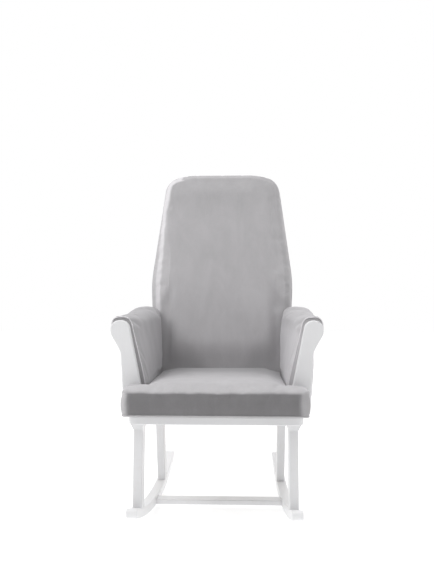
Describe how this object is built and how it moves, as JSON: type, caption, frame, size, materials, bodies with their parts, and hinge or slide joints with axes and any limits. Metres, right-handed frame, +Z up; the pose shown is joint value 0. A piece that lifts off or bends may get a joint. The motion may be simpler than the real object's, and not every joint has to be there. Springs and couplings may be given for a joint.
{
  "type": "rocking nursery chair",
  "caption": "High-backed upholstered nursing chair with padded arms, scrolled arm fronts and a T-shaped seat cushion on a white painted rocker base.",
  "frame": {"origin": "on the floor, midway between the rockers and under the low point where they touch it", "axes": "+Z up, +Y to the chair's back (a sitter faces -Y), +X to the right of a viewer who faces the chair's front"},
  "size_m": [0.664, 0.7879, 1.1734],
  "materials": {
    "white_paint": "satin",
    "raw_wood": "matte",
    "velvet": "matte",
    "webbing": "matte",
    "felt": "matte",
    "zinc_steel": "satin"
  },
  "bodies": {
    "root": {"arm_bolts": "zinc_steel", "arm_bottom_rail_left": "raw_wood", "arm_bottom_rail_right": "raw_wood", "arm_front_panel_left": "white_paint", "arm_front_panel_right": "white_paint", "arm_front_post_left": "raw_wood", "arm_front_post_right": "raw_wood", "arm_inner_pad_left": "velvet", "arm_inner_pad_right": "velvet", "arm_outer_pad_left": "velvet", "arm_outer_pad_right": "velvet", "arm_rear_post_left": "raw_wood", "arm_rear_post_right": "raw_wood", "arm_top_pad_left": "velvet", "arm_top_pad_right": "velvet", "arm_top_rail_left": "raw_wood", "arm_top_rail_right": "raw_wood", "arm_web_board_left": "raw_wood", "arm_web_board_right": "raw_wood", "back_bolts": "zinc_steel", "back_bottom_rail": "raw_wood", "back_cushion": "velvet", "back_lumbar_rail": "raw_wood", "back_post_left": "raw_wood", "back_post_right": "raw_wood", "back_rear_cover": "velvet", "back_top_rail": "raw_wood", "back_webbing": "webbing", "cross_rail": "raw_wood", "front_capital_left": "white_paint", "front_capital_right": "white_paint", "front_corner_block_left": "raw_wood", "front_corner_block_right": "raw_wood", "front_leg_left": "white_paint", "front_leg_right": "white_paint", "front_rail": "white_paint", "leg_bolts": "zinc_steel", "leg_dowels": "raw_wood", "panel_dowels": "raw_wood", "rear_corner_block_left": "raw_wood", "rear_corner_block_right": "raw_wood", "rear_leg_left": "white_paint", "rear_leg_right": "white_paint", "rear_rail": "white_paint", "rocker_left": "white_paint", "rocker_right": "white_paint", "seat_cushion": "velvet", "seat_deck": "felt", "seat_webbing_crosswise": "webbing", "seat_webbing_lengthwise": "webbing", "side_rail_left": "white_paint", "side_rail_right": "white_paint", "stretcher": "white_paint", "stretcher_screws": "zinc_steel"}
  },
  "joints": []
}
